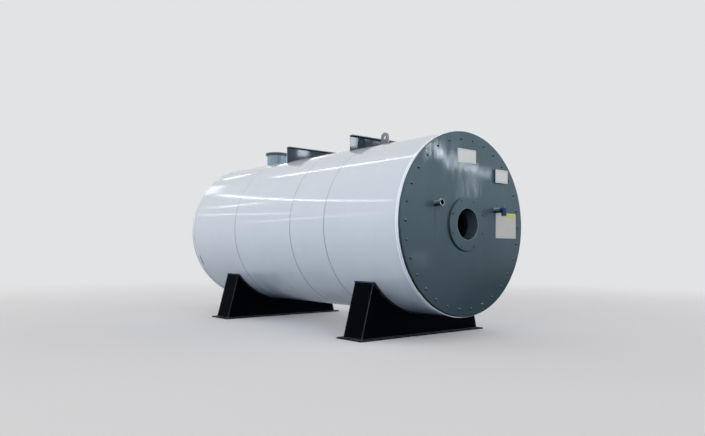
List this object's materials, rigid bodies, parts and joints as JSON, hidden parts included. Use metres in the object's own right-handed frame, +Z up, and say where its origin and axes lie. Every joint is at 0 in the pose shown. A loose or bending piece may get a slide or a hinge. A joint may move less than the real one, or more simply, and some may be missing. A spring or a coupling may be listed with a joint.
{
  "type": "industrial boiler",
  "caption": "Horizontal cylindrical fired boiler with a white jacket, round burner plate, lifting lugs, flue neck and box saddles.",
  "frame": {"origin": "on the ground, in the middle of the footprint", "axes": "+Z up, the drum lies along Y with the burner plate facing -Y, +X to the right of a person facing the burner plate"},
  "size_m": [2.0146, 4.64, 2.43],
  "materials": {
    "white_jacket": "gloss",
    "grey_paint": "gloss",
    "black_paint": "satin",
    "lining": "rough",
    "furnace_steel": "dull",
    "blue_paint": "gloss",
    "bare_steel": "satin",
    "flue_steel": "gloss",
    "plate_metal": "satin"
  },
  "bodies": {
    "root": {"jacket_course_1": "white_jacket", "jacket_course_2": "white_jacket", "jacket_course_3": "white_jacket", "jacket_course_4": "white_jacket", "front_trim_band": "white_jacket", "rear_trim_band": "white_jacket", "front_plate": "grey_paint", "rear_plate": "grey_paint", "burner_ring": "grey_paint", "throat_sleeve": "grey_paint", "front_lining": "lining", "furnace_tube": "furnace_steel", "back_lining": "lining", "left_stub_pipe": "grey_paint", "left_stub_collar": "grey_paint", "right_stub_pipe": "grey_paint", "valve_body": "blue_paint", "valve_lever": "bare_steel", "flue_neck": "flue_steel", "flue_rim": "flue_steel", "front_support_plate": "grey_paint", "front_support_flange": "grey_paint", "rear_support_plate": "grey_paint", "rear_support_flange": "grey_paint", "front_lifting_lug": "grey_paint", "rear_lifting_lug": "grey_paint", "front_saddle_pad": "black_paint", "front_saddle_webs": "black_paint", "front_saddle_ends": "black_paint", "front_saddle_base": "black_paint", "rear_saddle_pad": "black_paint", "rear_saddle_webs": "black_paint", "rear_saddle_ends": "black_paint", "rear_saddle_base": "black_paint", "rating_plate": "plate_metal", "side_plate": "plate_metal", "side_plate_bracket": "grey_paint", "instruction_board": "plate_metal"}
  },
  "joints": []
}
